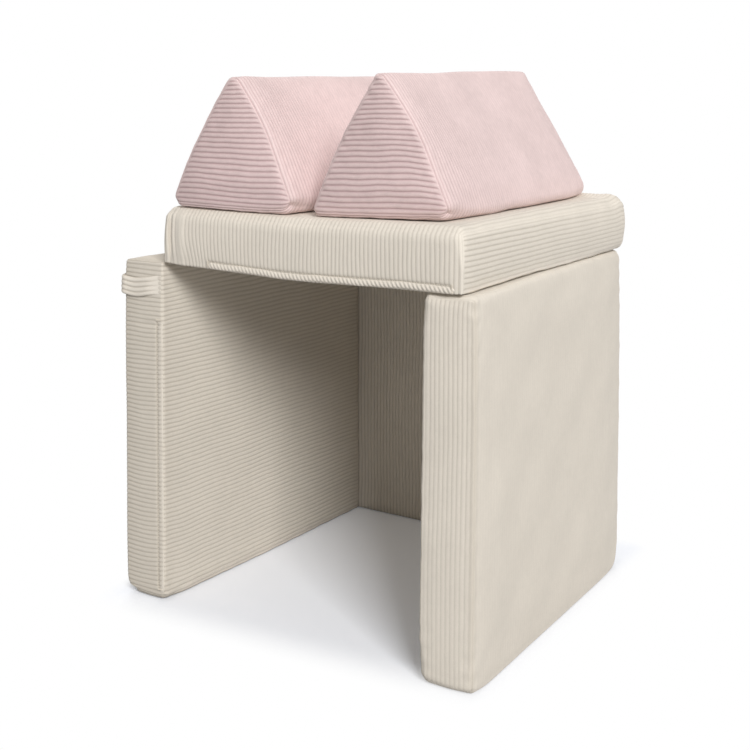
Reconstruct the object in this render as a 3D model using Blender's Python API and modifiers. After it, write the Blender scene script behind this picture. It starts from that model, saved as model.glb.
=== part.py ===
"""Modular foam play sofa, put up as a den: four square foam sections and two foam wedges.

The sections are two folding pairs. In pair A the left wall stands on its end and the roof folds from
the left wall's inner top edge. In pair B the back wall and the right wall are joined by an upright fold
in the inner rear right corner. Each section and wedge is a foam core in a zipped corduroy cover.

A section is built in its own frame, whose origin is on the fold: x runs from the fold to the far end,
or back from the fold where the section's direction is -1, y runs across from the zipped side, and z
runs from the face on the fold's side to the outer face. A wedge's frame has x across its base from the
left edge, y along it from the front and z up.
"""

import math

import bmesh
import bpy
from mathutils import Matrix, Vector

# Sections, in metres
section_length = 0.5985
section_thickness = 0.092
fold_gap = 0.0018  # from a fold's axis to the end of each section that it joins
rest_gap = 0.0003  # between two pieces that touch
section_crown = 0.004  # rise of the outer face's middle over its edges
section_draw = 0.0025  # how far a free side is drawn in between its seams
end_row = 0.012  # from a section's edge to the row of the cage that rounds it
seam_row = 0.012  # the same through the thickness
crown_inset = 0.07  # from a section's edge to the level middle of its outer face
crown_row_share = 0.35  # part of the crown that the edge row has

# Covers and cores
cover_thickness = 0.0025
core_gap = 0.0006
core_bevel = 0.008
core_crown_relief = 0.0022  # the foam's crown is that much lower than the cover's

# Layout of the den
back_fold_x = 0.588  # from the left wall's outer face to the upright fold
right_wall_splay = math.radians(3.19)

# Wedges
wedge_base = 0.275
wedge_height = 0.242  # to the sharp edge, before rounding
wedge_length = 0.536
wedge_edge_radius = 0.013
wedge_crown = 0.004
wedge_row = 0.014  # from a wedge's ends to the row of the cage that rounds them
wedge_crown_inset = 0.06
wedge_flat_inset = 0.045  # from a wedge's sides to the level part of its base
wedge_turn = math.radians(2.0)
left_wedge_corner = (0.106, 0.006)  # base corner from the left wall's outer front corner
wedge_gap = 0.003  # between the wedges' sharp base edges
right_wedge_setback = 0.026  # how far the right wedge's front is behind the left one's

# Zips
slot_height = 0.010
slot_from_seam = 0.006  # from the face on the fold's side to the slot
rested_slot_from_seam = 0.010  # the same on a side that another section rests on
slot_start = 0.102  # from the fold end to the slot
slot_end_margin = 0.019  # from the slot to the far end
wedge_slot_margin = 0.065  # from the slot to each end of a wedge
wedge_slot_inset = 0.062  # from the slot's middle to the wedge's right edge
flap_thickness = 0.001
flap_bevel = 0.0003
tape_width = 0.012
tape_thickness = 0.0008
tape_depth = 0.0030  # from the cover's outer face to the tape
tape_overrun = 0.006  # of the tape past each end of the slot
bead_width = 0.0044
bead_height = 0.0004  # of the zip's teeth over each face of the tape
parting = 0.0014  # gap between the two tapes' teeth
chain_stop = 0.005  # length of the sewn stop at each end of the teeth
slider_length = 0.012
slider_width = 0.009
slider_depth = 0.0013  # from the cover's outer face to the slider's outer plate
slider_outer_plate = 0.001
slider_inner_plate = 0.0008
slider_post = 0.0008
rebate_depth = 0.0064  # of the foam's rebate behind a zip, from the cover's outer face
rebate_from_tape = 0.003

# Fold seams and carry strap
fold_seam_margin = 0.012  # from a fold seam's ends to the sides
strap_width = 0.034
strap_thickness = 0.003
strap_from_top = 0.0345  # from the left wall's top to the strap
strap_bend_middle = 0.010  # of the strap's bend, from the corner's two faces
strap_bend_radius = 0.0165  # inner radius of that bend
strap_front_margin = 0.020  # from the strap's front end to the inner seam
strap_clearance = 0.0009
bend_points = 5
seam_sides = 12

# Angles that tell an edge from a smooth face
box_edge_angle = math.radians(40)
sharp_angle = math.radians(50)

# Materials: colour, roughness, metallic
cream_corduroy = ("cream_corduroy", (0.80, 0.74, 0.64, 1), 0.95, 0.0)
pink_corduroy = ("pink_corduroy", (0.80, 0.47, 0.48, 1), 0.95, 0.0)
foam = ("foam", (0.90, 0.88, 0.80, 1), 0.9, 0.0)
cream_tape = ("cream_tape", (0.82, 0.77, 0.68, 1), 0.85, 0.0)
pink_tape = ("pink_tape", (0.82, 0.52, 0.52, 1), 0.85, 0.0)
zip_metal = ("zip_metal", (0.55, 0.55, 0.57, 1), 0.35, 1.0)

# A section is as wide as the folded pair is high, so that the roof lies level on the right wall.
section_width = section_length + fold_gap - rest_gap
fold_height = section_length + fold_gap
back_face_y = section_width + rest_gap
shell_inset = cover_thickness + core_gap
half_rebate = tape_width / 2 + rebate_from_tape

# One level of subdivision brings a box's edge in by an eighth of each row beside it, and the seam on a
# fold's axis fills what that leaves between the two sections.
rounding_share = 1 / 8
fold_seam_radius = math.hypot(fold_gap + rounding_share * end_row, rounding_share * seam_row) - rest_gap

# The object's origin is under the middle of its bounding box.
splay_reach = math.sin(right_wall_splay) * fold_height
wall_reach = math.cos(right_wall_splay) * (section_thickness + section_crown)
middle_x = (back_fold_x + splay_reach + wall_reach - fold_height + back_fold_x) / 2
strap_reach = strap_bend_radius + strap_thickness - strap_bend_middle
middle_y = (back_face_y + section_thickness + section_crown - strap_reach) / 2

left_x, left_y = left_wedge_corner
right_wedge_corner = (left_x + wedge_base + wedge_gap, left_y + right_wedge_setback)


def clear_scene():
    for obj in list(bpy.data.objects):
        bpy.data.objects.remove(obj)


def new_collection(name):
    collection = bpy.data.collections.new(name)
    bpy.context.scene.collection.children.link(collection)
    return collection


def material(recipe):
    name, colour, roughness, metallic = recipe
    found = bpy.data.materials.get(name)
    if found:
        return found
    made = bpy.data.materials.new(name)
    made.use_nodes = True
    shader = made.node_tree.nodes["Principled BSDF"]
    shader.inputs["Base Color"].default_value = colour
    shader.inputs["Roughness"].default_value = roughness
    shader.inputs["Metallic"].default_value = metallic
    made.diffuse_color = colour
    return made


def place(obj, parent, look=None):
    """Puts a piece under its parent with its material, or a cutter where no material is given."""
    obj.parent = parent
    if look:
        obj.data.materials.append(material(look))
        parts.objects.link(obj)
    else:
        obj.hide_render = True
        obj.display_type = "WIRE"
        cutters.objects.link(obj)
    return obj


def empty(name, parent, location=(0, 0, 0), rotation=(0, 0, 0)):
    frame = bpy.data.objects.new(name, None)
    frame.parent = parent
    frame.location = location
    frame.rotation_euler = rotation
    parts.objects.link(frame)
    return frame


def mesh_object(name, bm):
    mesh = bpy.data.meshes.new(name)
    bm.to_mesh(mesh)
    bm.free()
    return bpy.data.objects.new(name, mesh)


def box_mesh(low, high):
    """A box between two corners."""
    low = Vector(low)
    high = Vector(high)
    bm = bmesh.new()
    bmesh.ops.create_cube(bm, size=1)
    bmesh.ops.scale(bm, vec=high - low, verts=bm.verts)
    bmesh.ops.translate(bm, vec=(low + high) / 2, verts=bm.verts)
    return bm


def cut_rows(bm, axis, places):
    """Adds a row of the cage at each place along an axis."""
    normal = Vector((0, 0, 0))
    normal[axis] = 1
    for where in places:
        everything = bm.verts[:] + bm.edges[:] + bm.faces[:]
        bmesh.ops.bisect_plane(bm, geom=everything, plane_co=normal * where, plane_no=normal)


def smooth(obj):
    obj.data.shade_smooth()
    obj.data.set_sharp_from_angle(angle=sharp_angle)


def subdivide(obj):
    modifier = obj.modifiers.new("soft form", "SUBSURF")
    modifier.levels = 1
    modifier.render_levels = 1


def shell(obj):
    modifier = obj.modifiers.new("cloth", "SOLIDIFY")
    modifier.thickness = cover_thickness
    modifier.offset = -1


def bevel(obj, width, angle):
    modifier = obj.modifiers.new("edges", "BEVEL")
    modifier.width = width
    modifier.segments = 1
    modifier.limit_method = "ANGLE"
    modifier.angle_limit = angle


def boolean(obj, cutter, operation):
    modifier = obj.modifiers.new(cutter.name, "BOOLEAN")
    modifier.operation = operation
    modifier.object = cutter


def edge_share(place_in, size, inset):
    """0 at an edge, crown_row_share at the edge row and 1 from the inset on."""
    distance = min(place_in - inset, size - inset - place_in)
    if distance < end_row / 2:
        return 0
    if distance < crown_inset / 2:
        return crown_row_share
    return 1


def section_cage(direction, drawn, inset, crown):
    """A section's box, cut into rows, with its crown and its drawn-in sides.

    drawn names the free sides: zipped, far_side and far_end. inset makes the foam's smaller cage.
    """
    sizes = (section_length, section_width, section_thickness)
    low = Vector((inset, inset, inset))
    high = Vector(sizes) - low
    bm = box_mesh(low, high)
    for axis in (0, 1):
        rows = (end_row, crown_inset, sizes[axis] - crown_inset, sizes[axis] - end_row)
        cut_rows(bm, axis, [inset + row if row < sizes[axis] / 2 else row - inset for row in rows])
    cut_rows(bm, 2, (inset + seam_row, section_thickness - seam_row - inset))
    for vert in bm.verts:
        x, y, z = vert.co
        share_x = edge_share(x, section_length, inset)
        share_y = edge_share(y, section_width, inset)
        seam_distance = min(z - inset, section_thickness - inset - z)
        # The foam is drawn in right up to its edges, which keeps it clear of the cover's seams.
        off_seam = inset > 0 or seam_distance > seam_row / 2
        if z > section_thickness / 2:
            vert.co.z += crown * share_x * share_y
        if off_seam and not share_y and (share_x or inset):
            if y < section_width / 2 and "zipped" in drawn:
                vert.co.y += section_draw
            if y > section_width / 2 and "far_side" in drawn:
                vert.co.y -= section_draw
        if off_seam and not share_x and (share_y or inset):
            if x > section_length / 2 and "far_end" in drawn:
                vert.co.x -= section_draw
    bmesh.ops.translate(bm, vec=(fold_gap, 0, 0), verts=bm.verts)
    if direction < 0:
        bmesh.ops.scale(bm, vec=(-1, 1, 1), verts=bm.verts)
        bmesh.ops.reverse_faces(bm, faces=bm.faces)
    return bm


def box_object(name, low, high, parent, look=None):
    return place(mesh_object(name, box_mesh(low, high)), parent, look)


def zip_parts(prefix, frame, length, direction, tape_look, overrun, rebate_low):
    """A concealed zip: flap, chain and slider, and the cutters of its slot and of the foam's rebate.

    In the zip's frame x runs along the slot from its start, y runs in from the cover's outer face and z
    runs across, with the slot's middle at zero. The slider is parked at the slot's end, or at its start
    where the direction is -1. The rebate passes the slot's ends by the overrun.
    """
    half_slot = slot_height / 2
    slot = box_object(
        prefix + "_slot_cutter",
        (0, -cover_thickness, -half_slot),
        (length, 3 * cover_thickness, half_slot),
        frame,
    )
    flap = box_object(
        prefix + "_zip_flap",
        (rest_gap, 0, rest_gap - half_slot),
        (length - rest_gap, flap_thickness, half_slot - rest_gap),
        frame,
        tape_look,
    )
    bevel(flap, flap_bevel, box_edge_angle)

    tape_end = tape_depth + tape_thickness
    chain = box_object(
        prefix + "_zip_chain",
        (-tape_overrun, tape_depth, -tape_width / 2),
        (length + tape_overrun, tape_end, tape_width / 2),
        frame,
        tape_look,
    )
    beads = box_object(
        prefix + "_bead_joiner",
        (chain_stop, tape_depth - bead_height, -bead_width / 2),
        (length - chain_stop, tape_end + bead_height, bead_width / 2),
        frame,
    )
    gap = box_object(
        prefix + "_parting_cutter",
        (2 * chain_stop, 0, -parting / 2),
        (length - 2 * chain_stop, 2 * tape_end, parting / 2),
        frame,
    )
    boolean(chain, beads, "UNION")
    boolean(chain, gap, "DIFFERENCE")

    post_end = tape_end + bead_height + rest_gap
    outer_end = slider_depth + slider_outer_plate
    half_width = slider_width / 2
    half_post = slider_post / 2
    outline = (
        (-half_width, slider_depth),
        (half_width, slider_depth),
        (half_width, outer_end),
        (half_post, outer_end),
        (half_post, post_end),
        (half_width, post_end),
        (half_width, post_end + slider_inner_plate),
        (-half_width, post_end + slider_inner_plate),
        (-half_width, post_end),
        (-half_post, post_end),
        (-half_post, outer_end),
        (-half_width, outer_end),
    )
    slider = outline_object(prefix + "_zip_slider", outline, slider_length, frame, zip_metal)
    # The outline's x runs across the zip and its depth along it.
    slider.rotation_euler = (0, -math.pi / 2, 0)
    parked = 2 * chain_stop + slider_length / 2 + rest_gap
    slider.location.x = length - parked if direction > 0 else parked

    rebate = box_object(
        prefix + "_rebate_cutter",
        (-overrun, -cover_thickness, rebate_low),
        (length + overrun, rebate_depth, half_rebate),
        frame,
    )
    return slot, rebate


def outline_object(name, outline, depth, parent, look):
    """A flat outline given thickness, centred on its own plane."""
    curve = bpy.data.curves.new(name, "CURVE")
    curve.dimensions = "2D"
    curve.fill_mode = "BOTH"
    curve.extrude = depth / 2
    spline = curve.splines.new("POLY")
    spline.points.add(len(outline) - 1)
    for point, (x, y) in zip(spline.points, outline):
        point.co = (x, y, 0, 1)
    spline.use_cyclic_u = True
    return place(bpy.data.objects.new(name, curve), parent, look)


def section(name, frame, direction, drawn):
    """One section: cover, foam core and zip, in the frame on its fold."""
    cover_cage = section_cage(direction, drawn, 0, section_crown)
    cover = place(mesh_object(name + "_cover", cover_cage), frame, cream_corduroy)
    subdivide(cover)
    shell(cover)
    smooth(cover)
    core_cage = section_cage(direction, drawn, shell_inset, section_crown - core_crown_relief)
    core = place(mesh_object(name + "_core", core_cage), frame, foam)
    bevel(core, core_bevel, box_edge_angle)

    slot_length = section_length - slot_start - slot_end_margin
    first = fold_gap + slot_start
    free = "zipped" in drawn
    surface = section_draw if free else 0
    slot_middle = (slot_from_seam if free else rested_slot_from_seam) + slot_height / 2
    along = first if direction > 0 else -first - slot_length
    zip_frame = empty(name + "_zip_frame", frame, (along, surface, slot_middle))
    slot, rebate = zip_parts(
        name, zip_frame, slot_length, direction, cream_tape, slot_start, -2 * slot_middle
    )
    boolean(cover, slot, "DIFFERENCE")
    boolean(core, rebate, "DIFFERENCE")


def wedge_cage(inset, crown):
    """A wedge's prism with chamfered long edges, cut into rows, its slopes and ends crowned.

    The inset makes the foam's smaller cage, which keeps the triangle's angles.
    """
    base_angle = math.atan2(wedge_height, wedge_base / 2)
    side_inset = inset / math.tan(base_angle / 2)
    base = wedge_base - 2 * side_inset
    height = wedge_height * base / wedge_base
    length = wedge_length - 2 * inset
    bm = bmesh.new()
    round_radius = base / math.sqrt(3)
    bmesh.ops.create_cone(
        bm, cap_ends=True, segments=3, radius1=round_radius, radius2=round_radius, depth=length
    )
    # The cone's axis is turned from z to y and one of its corners up.
    corner = max(bm.verts, key=lambda vert: vert.co.z + vert.co.y).co
    turn_up = math.atan2(corner.y, corner.x) - math.pi / 2
    bmesh.ops.rotate(bm, matrix=Matrix.Rotation(-turn_up, 3, "Z"), verts=bm.verts)
    bmesh.ops.rotate(bm, matrix=Matrix.Rotation(math.pi / 2, 3, "X"), verts=bm.verts)
    bmesh.ops.translate(bm, vec=(base / 2, length / 2, round_radius / 2), verts=bm.verts)
    bmesh.ops.scale(bm, vec=(1, 1, height / (1.5 * round_radius)), verts=bm.verts)
    long_edges = [edge for edge in bm.edges if abs(edge.verts[0].co.y - edge.verts[1].co.y) > length / 2]
    # The chamfer's middle lies where the round edge does, as subdivision leaves it there.
    half_angle = base_angle / 2
    chamfer = wedge_edge_radius * (1 / math.sin(half_angle) - 1) / math.cos(half_angle)
    bmesh.ops.bevel(bm, geom=long_edges, offset=chamfer, segments=1, affect="EDGES")
    flat_inset = wedge_flat_inset - side_inset
    cut_rows(bm, 0, (flat_inset, base - flat_inset))
    cut_rows(bm, 2, (height / 2,))
    crown_row = wedge_crown_inset - inset
    cut_rows(bm, 1, (wedge_row, crown_row, length - crown_row, length - wedge_row))

    slope_up = math.cos(base_angle)
    slope_out = math.sin(base_angle)
    low_row = flat_inset * math.tan(base_angle)
    for vert in bm.verts:
        x, y, z = vert.co
        on_slope = low_row - wedge_row / 2 < z < height / 2 + wedge_row / 2
        if on_slope and wedge_row * 2 < y < length - wedge_row * 2:
            vert.co.z += crown * slope_up
            vert.co.x += crown * slope_out * (1 if x > base / 2 else -1)
    ends = [face for face in bm.faces if abs(face.normal.y) > 0.9]
    bmesh.ops.inset_region(bm, faces=ends, thickness=wedge_row, use_even_offset=True)
    for vert in {vert for face in ends for vert in face.verts}:
        vert.co.y += crown * (1 if vert.co.y > length / 2 else -1)
    bmesh.ops.translate(bm, vec=(side_inset, inset, inset), verts=bm.verts)
    return bm


def wedge(name, frame):
    """One wedge: cover, foam core and zip, the zip in its base beside the right edge."""
    cover = place(mesh_object(name + "_cover", wedge_cage(0, wedge_crown)), frame, pink_corduroy)
    subdivide(cover)
    shell(cover)
    smooth(cover)
    core = place(mesh_object(name + "_core", wedge_cage(shell_inset, wedge_crown)), frame, foam)
    subdivide(core)
    smooth(core)

    slot_length = wedge_length - 2 * wedge_slot_margin
    zip_place = (wedge_base - wedge_slot_inset, wedge_slot_margin, 0)
    # The zip's x runs along the wedge and its y upwards.
    zip_frame = empty(name + "_zip_frame", frame, zip_place, (math.pi / 2, 0, math.pi / 2))
    slot, rebate = zip_parts(name, zip_frame, slot_length, 1, pink_tape, 2 * tape_overrun, -half_rebate)
    boolean(cover, slot, "DIFFERENCE")
    boolean(core, rebate, "DIFFERENCE")


def fold_seam(name, frame):
    """The sewn seam on a fold's axis, which is the y axis of its sections' frames."""
    bm = bmesh.new()
    bmesh.ops.create_cone(
        bm,
        cap_ends=True,
        segments=seam_sides,
        radius1=fold_seam_radius,
        radius2=fold_seam_radius,
        depth=section_width - 2 * fold_seam_margin,
    )
    seam = place(mesh_object(name, bm), frame, cream_tape)
    seam.location.y = section_width / 2
    seam.rotation_euler.x = math.pi / 2
    smooth(seam)


def band_outline(path, thickness):
    """The outline of a band whose inner side follows a path, with its thickness to the path's left."""
    outer = []
    for index, point in enumerate(path):
        before = Vector(path[max(index - 1, 0)])
        after = Vector(path[min(index + 1, len(path) - 1)])
        along = (after - before).normalized()
        outer.append((point[0] - along.y * thickness, point[1] + along.x * thickness))
    return list(path) + outer[::-1]


def carry_strap(frame):
    """The flat band round the left wall's upper front corner, from the inner front seam to the rear.

    Its path is in plan, x from the wall's outer face and y from its front.
    """
    front = section_draw - strap_clearance
    over_crown = -section_crown - strap_clearance
    over_row = -section_crown * crown_row_share - strap_clearance
    path = [(over_row, section_width - end_row)]
    path.append((over_crown, section_width - crown_inset))
    path.append((over_crown, crown_inset))
    for step in range(bend_points):
        angle = math.pi + step / (bend_points - 1) * math.pi / 2
        x = strap_bend_middle + strap_bend_radius * math.cos(angle)
        y = strap_bend_middle + strap_bend_radius * math.sin(angle)
        path.append((x, y))
    path.append((section_thickness / 2, front))
    path.append((section_thickness - strap_front_margin, front))
    from_fold = fold_gap + strap_from_top + strap_width / 2
    flat = empty("carry_strap_frame", frame, (-from_fold, 0, section_thickness), (0, math.pi / 2, 0))
    outline = band_outline(path, -strap_thickness)
    outline_object("carry_strap", outline, strap_width, flat, cream_corduroy)


clear_scene()
parts = new_collection("foam_play_sofa")
cutters = new_collection("cutters")

origin = empty("origin", None, (-middle_x, -middle_y, 0))
fold_a = (section_thickness, 0, fold_height)
fold_b = (back_fold_x, back_face_y, section_width)
left_frame = empty("left_panel_frame", origin, fold_a, (0, -math.pi / 2, 0))
roof_frame = empty("roof_panel_frame", origin, fold_a)
back_frame = empty("back_panel_frame", origin, fold_b, (-math.pi / 2, 0, 0))
right_turn = (-math.pi / 2, 0, -math.pi / 2 + right_wall_splay)
right_frame = empty("right_panel_frame", origin, fold_b, right_turn)

section("left_panel", left_frame, -1, ("zipped",))
section("roof_panel", roof_frame, 1, ("zipped", "far_side", "far_end"))
section("back_panel", back_frame, -1, ("zipped", "far_end"))
section("right_panel", right_frame, 1, ("far_end",))
fold_seam("left_roof_fold_seam", roof_frame)
fold_seam("back_right_fold_seam", right_frame)
carry_strap(left_frame)

roof_top = fold_height + section_thickness + section_crown + rest_gap
for name, corner in (("left_wedge", left_wedge_corner), ("right_wedge", right_wedge_corner)):
    wedge_frame = empty(name + "_frame", origin, (*corner, roof_top), (0, 0, wedge_turn))
    wedge(name, wedge_frame)
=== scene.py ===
"""The dressed foam play sofa: corduroy covers, zip flaps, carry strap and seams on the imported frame.

Every cover is a closed sheet of wales. A section is worked out in its own frame: x from its fold to its
far end, y across from the zipped side and z from the face on the fold's side to the outer face. A wedge
has x across its base, y along it from the front and z up. All sizes are in metres.
"""

import math

import bpy
import numpy as np
from mathutils import Matrix, Vector


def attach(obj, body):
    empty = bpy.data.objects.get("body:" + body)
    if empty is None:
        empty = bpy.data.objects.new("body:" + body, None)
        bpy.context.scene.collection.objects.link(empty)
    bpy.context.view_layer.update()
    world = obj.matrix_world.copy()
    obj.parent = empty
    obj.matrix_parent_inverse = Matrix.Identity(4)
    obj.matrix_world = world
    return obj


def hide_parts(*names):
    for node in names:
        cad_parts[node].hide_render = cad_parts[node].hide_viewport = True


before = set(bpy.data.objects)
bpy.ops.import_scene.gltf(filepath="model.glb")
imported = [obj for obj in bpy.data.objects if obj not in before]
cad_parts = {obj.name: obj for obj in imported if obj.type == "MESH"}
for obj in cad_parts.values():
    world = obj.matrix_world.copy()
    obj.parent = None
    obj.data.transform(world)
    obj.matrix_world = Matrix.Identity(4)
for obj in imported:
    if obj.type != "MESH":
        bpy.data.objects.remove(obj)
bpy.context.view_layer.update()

# Sections, as in the solids
section_size = np.array([0.5985, 0.6000, 0.092])
section_length, section_width, section_thickness = section_size
fold_gap = 0.0018
section_crown = 0.004
crown_run = 0.085
slot_start = 0.102
slot_length = 0.4775
welt_margin = 0.012

# Wedges, as in the solids
wedge_base = 0.275
wedge_height = 0.242
wedge_length = 0.536
wedge_end_radius = 0.009
wedge_swell = 0.0035
wedge_turn = math.radians(2)
right_wall_turn = math.radians(3.19)
wedge_slot_margin = 0.065
wedge_flap_inset = 0.062

# Stitches: their pitch, half length and half thickness, and how far their row is from a flap's middle
stitch_pitch = 0.0044
stitch_size = (0.0017, 0.00042, 0.00042)
stitch_row = 0.0062
wedge_stitch_row = 0.0078

# The cloth's swelling: how far a point may move, and for how many steps it runs
swell_cap = 0.0018
swell_steps = 20

# Corduroy
wale_depth = 0.0012
side_wales = 75
cap_wales = 12
wedge_wales = 67
front_wales = 29
wale_columns = np.array([0, 0.1, 0.3, 0.5, 0.7, 0.9])
far_rows = np.array([0, 1, 2, 4, 7, 12, 20, 30, 42, 52, 60, 65, 68, 70, 71, 72])
near_rows = np.append(np.arange(13), [14, 16, 18, 20, 25, 30, 36, 42, 47, 52, 56, 60, 65, 68, 70, 71, 72])

# Camera, fitted to the photograph's corners
camera_place = (1.27810, -1.97073, 0.90990)
camera_yaw = math.radians(33.9)
camera_pitch = math.radians(2.045)
camera_lens = 61.337
camera_shift = -0.3287

# The floor turns white from these starts, over these widths, to the right and back, and the left and front
floor_sides = ((1, (0.332, 0.335), (0.04, 0.05)), (-1, (0.365, 0.30), (0.05, 0.11)))
floor_lift = 0.055

# Lamps: name, place, what they face, size and power
lamps = (
    ("key_softbox", (13.6, -11.5, 11.1), (0.0, 0.0, 0.45), 7.2, 3850),
    ("fill_softbox", (-1.5, -3.2, 1.6), (0.0, 0.0, 0.45), 2.0, 3),
    ("back_softbox", (-9.0, 9.0, 7.0), (0.0, 0.0, 0.45), 7.0, 750),
    ("top_softbox", (0.2, -0.1, 3.3), (0.1, 0.0, 0.6), 2.5, 16),
)

# The folds' axes end here: the left wall's and the roof's at the front, the upright one at the top
fold_a = (-0.260478, -0.3434, 0.6003)
fold_b = (0.235522, 0.2569, 0.6000)
wedge_level = 0.6966

# The roof is puffed up close to its edges and sags between the walls
roof_crown_run = 0.022
roof_sag = ((0.28, 0, 0), (0, 0, -0.0048), (0.15, 0.30, 1))


def ease(t):
    """An even rise from 0 at t = 0 to 1 at t = 1: t t (3 - 2 t)."""
    t = np.clip(t, 0, 1)
    return t * t * (3 - 2 * t)


def bell(distance, width):
    """1 at distance 0 and fading on both sides: exp(-(distance / width)^2)."""
    return np.exp(-((distance / width) ** 2))


def uneven(points, pitch, seed):
    """A smooth uneven field, about -1 to 1: six sine waves across the points, each in its own direction."""
    chance = np.random.default_rng(seed)
    total = np.zeros(points.shape[:-1])
    for _ in range(6):
        along = chance.normal(size=3)
        along *= 2 * math.pi / (pitch * chance.uniform(0.7, 1.6) * np.linalg.norm(along))
        total += np.sin(points @ along + chance.uniform(0, 2 * math.pi))
    return np.clip(total / 3, -1, 1)


def crowded(length, count, share=0.86):
    """Places from 0 to the length, closest at both ends: length (t - share sin(2 pi t) / (2 pi))."""
    t = np.linspace(0, 1, count + 1)
    return length * (t - share * np.sin(2 * math.pi * t) / (2 * math.pi))


def wale_places(count):
    """Columns in wales, six to a wale and closest at its groove."""
    return np.append((np.arange(count)[:, None] + wale_columns).ravel(), count)


def wale_top(place):
    """Height of a wale, 0 in the groove and 1 on top: |sin(pi place)| to the power 0.6."""
    return np.abs(np.sin(math.pi * place)) ** 0.6


def bumps(points, places):
    """The sum of soft bumps, each amount exp(-|(point - centre) / spread|^2). An amount is a number or a
    vector."""
    total = 0
    for centre, amount, spread in places:
        away = (points - np.array(centre)) / np.array(spread)
        total = total + np.exp(-(away**2).sum(-1))[..., None] * np.atleast_1d(amount)
    return total


def turned(*angles):
    """A numpy rotation from Blender's x, y and z angles."""
    x, y, z = angles
    turn = Matrix.Rotation(z, 3, "Z") @ Matrix.Rotation(y, 3, "Y") @ Matrix.Rotation(x, 3, "X")
    return np.array(turn)


def swollen(counts, spread, seed):
    """How far a filled cover swells, by Blender's cloth, as a lattice of moves.

    A coarse closed skin, spread over shares of 0 to 1 along its three sides, is held along its edges and
    pressed out evenly for twenty steps. A move d is kept as cap tanh(|d| / cap) d / |d|.
    """
    lattice = np.zeros((*counts, 3))
    shares = np.stack(np.meshgrid(*(np.linspace(0, 1, count) for count in counts), indexing="ij"), -1)
    rest = spread(shares)
    rest = rest + 0.0008 * uneven(rest, 0.10, seed)[..., None]
    numbers = np.arange(rest[..., 0].size).reshape(counts)
    quads = []
    for axis in range(3):
        for end in (0, -1):
            side = np.take(numbers, end, axis)
            corners = (side[:-1, :-1], side[1:, :-1], side[1:, 1:], side[:-1, 1:])
            if (axis == 1) != (end == 0):
                corners = corners[::-1]
            quads.append(np.stack(corners, -1).reshape(-1, 4))
    used, index = np.unique(np.concatenate(quads), return_inverse=True)
    places = rest.reshape(-1, 3)[used]
    _, keep, merged = np.unique(np.round(places, 6), axis=0, return_index=True, return_inverse=True)
    merged = merged.reshape(-1)
    corners = merged[index.reshape(-1, 4)]
    triangles = np.concatenate([corners[:, [0, 1, 2]], corners[:, [0, 2, 3]]])
    whole = (triangles != np.roll(triangles, -1, 1)).all(1)
    skin = bpy.data.meshes.new("swelling")
    skin.from_pydata(places[keep], [], triangles[whole])
    piece = bpy.data.objects.new("swelling", skin)
    bpy.context.scene.collection.objects.link(piece)
    edges = (np.isin(shares.reshape(-1, 3)[used[keep]], (0, 1)).sum(1) > 1).nonzero()[0]
    held = piece.vertex_groups.new(name="edges")
    held.add(edges.tolist(), 1.0, "REPLACE")
    cloth = piece.modifiers.new("swelling", "CLOTH")
    settings = cloth.settings
    settings.quality = 5
    settings.mass = 0.3
    settings.tension_stiffness = 15
    settings.compression_stiffness = 15
    settings.bending_stiffness = 0.5
    settings.vertex_group_mass = held.name
    settings.use_pressure = True
    settings.uniform_pressure_force = 4
    settings.effector_weights.gravity = 0
    cloth.point_cache.frame_start = 1
    cloth.point_cache.frame_end = swell_steps
    for step in range(1, swell_steps + 1):
        bpy.context.scene.frame_set(step)
    swelled = piece.evaluated_get(bpy.context.evaluated_depsgraph_get()).data
    points = np.empty(len(keep) * 3, np.float32)
    swelled.vertices.foreach_get("co", points)
    moves = points.reshape(-1, 3) - places[keep]
    bpy.data.objects.remove(piece)
    bpy.context.scene.frame_set(1)
    length = np.linalg.norm(moves, axis=1, keepdims=True)
    moves *= swell_cap * np.tanh(length / swell_cap) / np.maximum(length, 1e-9)
    lattice.reshape(-1, 3)[used] = moves[merged]
    return lattice


def between(lattice, shares):
    """A lattice's move at shares of its sides: its eight nearest points, blended by how near they are."""
    counts = np.array(lattice.shape[:3])
    at = np.clip(shares, 0, 1) * (counts - 1)
    low = np.minimum(at.astype(int), counts - 2)
    part = at - low
    total = np.zeros(shares.shape)
    for corner in np.ndindex(2, 2, 2):
        weight = np.where(corner, part, 1 - part).prod(-1)
        i, j, k = np.moveaxis(low + np.array(corner), -1, 0)
        total += weight[..., None] * lattice[i, j, k]
    return total


class Place:
    """A piece's own frame in the object's frame. A direction of -1 mirrors its x."""

    def __init__(self, origin, turn, direction=1):
        self.origin = np.array(origin)
        self.turn = turn * np.array([direction, 1, 1])

    def points(self, local):
        return local @ self.turn.T + self.origin

    def directions(self, local):
        return local @ self.turn.T


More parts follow.
